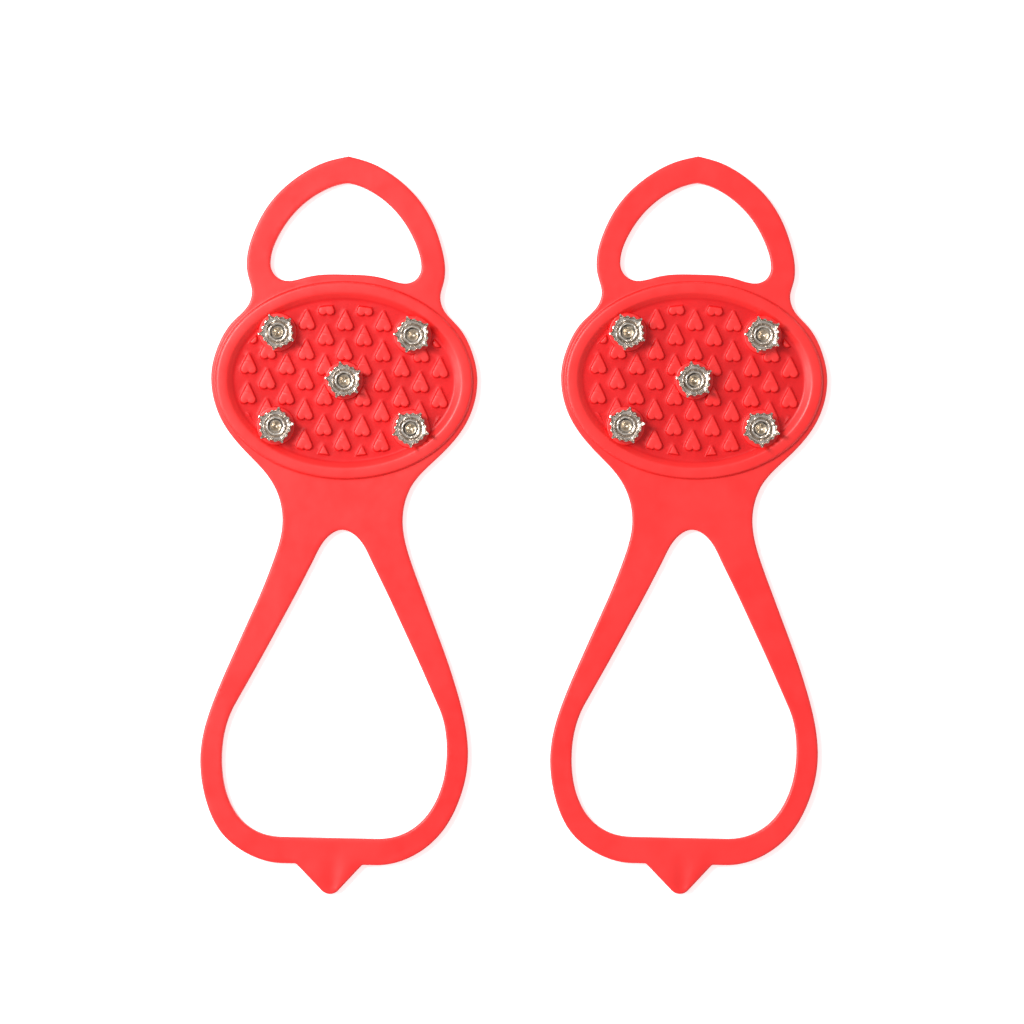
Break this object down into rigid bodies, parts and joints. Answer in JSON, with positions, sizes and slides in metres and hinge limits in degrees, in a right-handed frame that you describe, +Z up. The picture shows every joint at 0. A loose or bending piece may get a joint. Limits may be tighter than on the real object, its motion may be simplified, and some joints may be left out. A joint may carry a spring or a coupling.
{
  "type": "pull-on shoe ice cleats",
  "caption": "Pair of stretchy red rubber shoe ice cleats: oval pad with heart treads and spiked steel studs, toe loop, long heel loop and pull tab.",
  "frame": {"origin": "under the middle of the pair's box, on the surface that both cleats lie on", "axes": "+Z up, out of the studded side; +Y from heel to toe; +X from the left cleat to the right cleat"},
  "size_m": [0.2094, 0.2528, 0.0086],
  "materials": {
    "red_rubber": "smooth semi-gloss elastomer",
    "spike_steel": "bright plated pressed steel",
    "rivet_steel": "bright plated steel, polished lip",
    "washer_steel": "plain zinc-plated steel"
  },
  "bodies": {
    "left_sole": {"left_sole_pad": "red_rubber", "left_spike_crown_1": "spike_steel", "left_stud_rivet_1": "rivet_steel", "left_backing_washer_1": "washer_steel", "left_spike_crown_2": "spike_steel", "left_stud_rivet_2": "rivet_steel", "left_backing_washer_2": "washer_steel", "left_spike_crown_3": "spike_steel", "left_stud_rivet_3": "rivet_steel", "left_backing_washer_3": "washer_steel", "left_spike_crown_4": "spike_steel", "left_stud_rivet_4": "rivet_steel", "left_backing_washer_4": "washer_steel", "left_spike_crown_5": "spike_steel", "left_stud_rivet_5": "rivet_steel", "left_backing_washer_5": "washer_steel"},
    "left_toe_end": {"left_toe_loop": "red_rubber", "left_toe_leg_left": "red_rubber", "left_toe_leg_right": "red_rubber"},
    "left_heel_root": {"left_heel_fork": "red_rubber", "left_heel_neck": "red_rubber", "left_heel_arm_left": "red_rubber", "left_heel_arm_right": "red_rubber"},
    "left_heel_end": {"left_heel_band": "red_rubber"},
    "right_sole": {"right_sole_pad": "red_rubber", "right_spike_crown_1": "spike_steel", "right_stud_rivet_1": "rivet_steel", "right_backing_washer_1": "washer_steel", "right_spike_crown_2": "spike_steel", "right_stud_rivet_2": "rivet_steel", "right_backing_washer_2": "washer_steel", "right_spike_crown_3": "spike_steel", "right_stud_rivet_3": "rivet_steel", "right_backing_washer_3": "washer_steel", "right_spike_crown_4": "spike_steel", "right_stud_rivet_4": "rivet_steel", "right_backing_washer_4": "washer_steel", "right_spike_crown_5": "spike_steel", "right_stud_rivet_5": "rivet_steel", "right_backing_washer_5": "washer_steel"},
    "right_toe_end": {"right_toe_loop": "red_rubber", "right_toe_leg_left": "red_rubber", "right_toe_leg_right": "red_rubber"},
    "right_heel_root": {"right_heel_fork": "red_rubber", "right_heel_neck": "red_rubber", "right_heel_arm_left": "red_rubber", "right_heel_arm_right": "red_rubber"},
    "right_heel_end": {"right_heel_band": "red_rubber"}
  },
  "joints": [
    {"name": "left_toe_loop_fold", "type": "hinge", "parent": "left_sole", "child": "left_toe_end", "pos_m": [-0.05935, 0.09015, 0.0015], "axis": [1, 0, 0], "range_deg": [0, 110], "stiffness_Nm_per_rad": 0.011, "deforming": ["left_toe_leg_left", "left_toe_leg_right"]},
    {"name": "left_heel_loop_fold", "type": "hinge", "parent": "left_sole", "child": "left_heel_root", "pos_m": [-0.05935, 0.0039, 0.0015], "axis": [-1, 0, 0], "range_deg": [0, 100], "stiffness_Nm_per_rad": 0.024, "deforming": ["left_heel_neck"]},
    {"name": "left_heel_loop_stretch", "type": "slide", "parent": "left_heel_root", "child": "left_heel_end", "axis": [0, -1, 0], "range_m": [0, 0.06], "stiffness_N_per_m": 560, "deforming": ["left_heel_arm_left", "left_heel_arm_right"]},
    {"name": "right_toe_loop_fold", "type": "hinge", "parent": "right_sole", "child": "right_toe_end", "pos_m": [0.05935, 0.09275, 0.0015], "axis": [1, 0, 0], "range_deg": [0, 110], "stiffness_Nm_per_rad": 0.011, "deforming": ["right_toe_leg_left", "right_toe_leg_right"]},
    {"name": "right_heel_loop_fold", "type": "hinge", "parent": "right_sole", "child": "right_heel_root", "pos_m": [0.05935, 0.0065, 0.0015], "axis": [-1, 0, 0], "range_deg": [0, 100], "stiffness_Nm_per_rad": 0.024, "deforming": ["right_heel_neck"]},
    {"name": "right_heel_loop_stretch", "type": "slide", "parent": "right_heel_root", "child": "right_heel_end", "axis": [0, -1, 0], "range_m": [0, 0.06], "stiffness_N_per_m": 560, "deforming": ["right_heel_arm_left", "right_heel_arm_right"]},
    {"name": "right_cleat_apart", "type": "slide", "parent": "left_sole", "child": "right_sole", "axis": [1, 0, 0], "range_m": [0, 0.15]}
  ]
}
